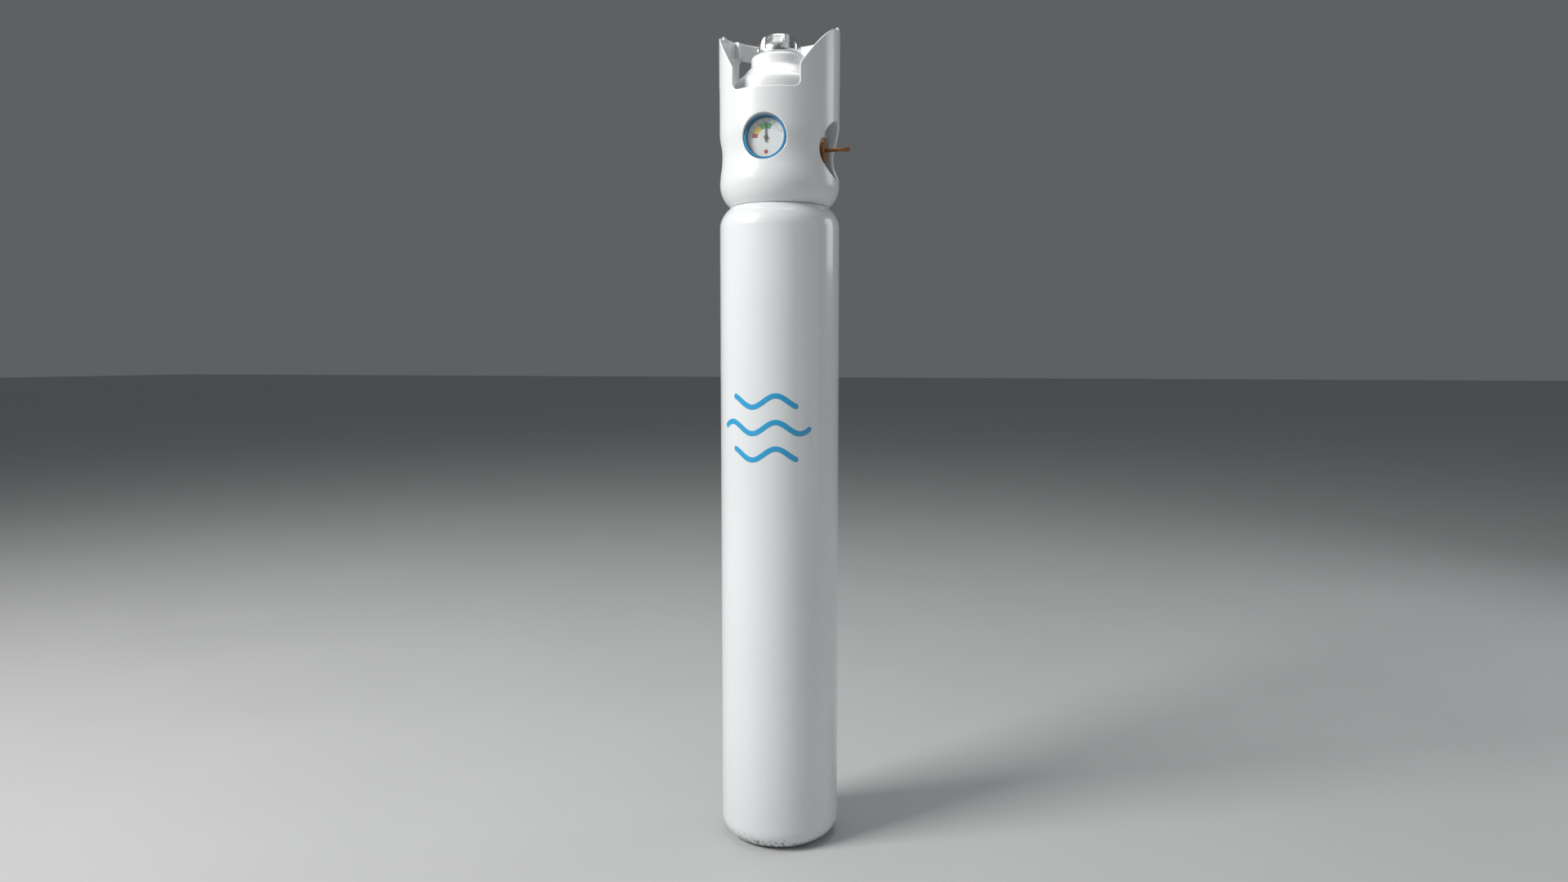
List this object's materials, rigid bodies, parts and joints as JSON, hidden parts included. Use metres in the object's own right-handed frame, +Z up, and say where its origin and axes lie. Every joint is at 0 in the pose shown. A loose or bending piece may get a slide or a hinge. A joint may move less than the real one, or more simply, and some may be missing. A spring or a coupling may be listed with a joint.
{
  "type": "oxygen cylinder with integral valve",
  "caption": "Tall white steel gas cylinder with an integral valve, contents gauge, side outlet, handwheel and a carrying guard with a hand grip.",
  "frame": {"origin": "centre of the foot, on the surface that the cylinder stands on", "axes": "+Z up along the cylinder; the gauge faces -Y, the outlet +X, the filling port -X and the hand grip is at +Y"},
  "size_m": [0.153, 0.1399, 0.951],
  "materials": {
    "shell_paint": "gloss white two-pack paint on steel, light orange peel",
    "guard_plastic": "gloss white moulded plastic",
    "cover_plastic": "gloss white moulded plastic",
    "wheel_chrome": "bright chrome plate",
    "brass": "turned brass",
    "dark_brass": "brown tarnished brass",
    "steel": "turned steel",
    "zinc": "bright zinc plate",
    "spring_steel": "spring steel wire",
    "bronze": "phosphor bronze",
    "seal_rubber": "black elastomer",
    "seat_plastic": "off-white sealing plastic",
    "gauge_blue": "gloss blue",
    "dial_face": "matt white enamel with printed arcs",
    "pointer_black": "matt black enamel",
    "lens": "clear flat lens",
    "cap_plastic": "black flexible plastic"
  },
  "bodies": {
    "frame": {"shell": "shell_paint", "neck_ring": "steel", "guard": "guard_plastic", "guard_screws": "zinc", "valve_block": "brass", "dip_tube": "brass", "inlet_filter": "bronze", "valve_seat": "seat_plastic", "spindle_washer": "seat_plastic", "gland_nut": "brass", "spindle_rings": "seal_rubber", "valve_cover": "cover_plastic", "cover_nut": "brass", "gauge_socket": "brass", "gauge_case": "steel", "bourdon_tube": "bronze", "movement_plates": "brass", "movement_pillars": "brass", "movement_screws": "zinc", "dial_plate": "dial_face", "gauge_lens": "lens", "gauge_bezel": "gauge_blue", "regulator_bonnet": "dark_brass", "outlet_spigot": "dark_brass", "regulator_spring": "spring_steel", "filling_body": "brass", "filling_spring": "spring_steel", "relief_body": "brass", "relief_spring": "spring_steel", "relief_plug": "brass"},
    "wheel": {"handwheel": "wheel_chrome", "wheel_washer": "zinc", "wheel_screw": "zinc", "upper_spindle": "steel"},
    "lower_spindle": {"lower_spindle": "brass"},
    "sector": {"sector_gear": "brass"},
    "pointer": {"pointer_pinion": "brass", "pointer": "pointer_black"},
    "link": {"pressure_link": "steel", "tube_lug": "bronze"},
    "piston": {"regulator_piston": "steel", "regulator_seat": "seat_plastic", "piston_rings": "seal_rubber"},
    "filling_poppet": {"filling_poppet": "steel"},
    "filling_cap": {"filling_cap": "cap_plastic"},
    "relief_poppet": {"relief_poppet": "steel"}
  },
  "joints": [
    {"name": "handwheel_turn", "type": "hinge", "parent": "frame", "child": "wheel", "pos_m": [0, 0, 0.93], "axis": [0, 0, 1], "range_deg": [0, 540]},
    {"name": "lower_spindle_lift", "type": "slide", "parent": "wheel", "child": "lower_spindle", "axis": [0, 0, 1], "range_m": [0, 0.00225]},
    {"name": "sector_turn", "type": "hinge", "parent": "frame", "child": "sector", "pos_m": [-0.01269, -0.048, 0.81581], "axis": [0, -1, 0], "range_deg": [-8.75, 11.25]},
    {"name": "pointer_turn", "type": "hinge", "parent": "frame", "child": "pointer", "pos_m": [0, -0.05, 0.8204], "axis": [0, -1, 0], "range_deg": [-90, 70]},
    {"name": "link_swing", "type": "hinge", "parent": "sector", "child": "link", "pos_m": [-0.0174, -0.0465, 0.8141], "axis": [0, -1, 0], "range_deg": [-11.25, 8.75]},
    {"name": "piston_travel", "type": "slide", "parent": "frame", "child": "piston", "axis": [1, 0, 0], "range_m": [-0.0006, 0], "stiffness_N_per_m": 9000, "springref_m": 0.003, "deforming": ["regulator_spring"]},
    {"name": "filling_poppet_travel", "type": "slide", "parent": "frame", "child": "filling_poppet", "axis": [1, 0, 0], "range_m": [0, 0.002], "stiffness_N_per_m": 800, "springref_m": -0.003, "deforming": ["filling_spring"]},
    {"name": "filling_cap_pull", "type": "slide", "parent": "frame", "child": "filling_cap", "axis": [-1, 0, 0], "range_m": [0, 0.03]},
    {"name": "relief_poppet_travel", "type": "slide", "parent": "frame", "child": "relief_poppet", "axis": [0, 1, 0], "range_m": [0, 0.0015], "stiffness_N_per_m": 3000, "springref_m": -0.003, "deforming": ["relief_spring"]}
  ],
  "couplings": [
    {"joint": "lower_spindle_lift", "follows": "handwheel_turn", "m_per_rad": 0.00023873},
    {"joint": "pointer_turn", "follows": "sector_turn", "ratio": -8},
    {"joint": "link_swing", "follows": "sector_turn", "ratio": -1}
  ]
}
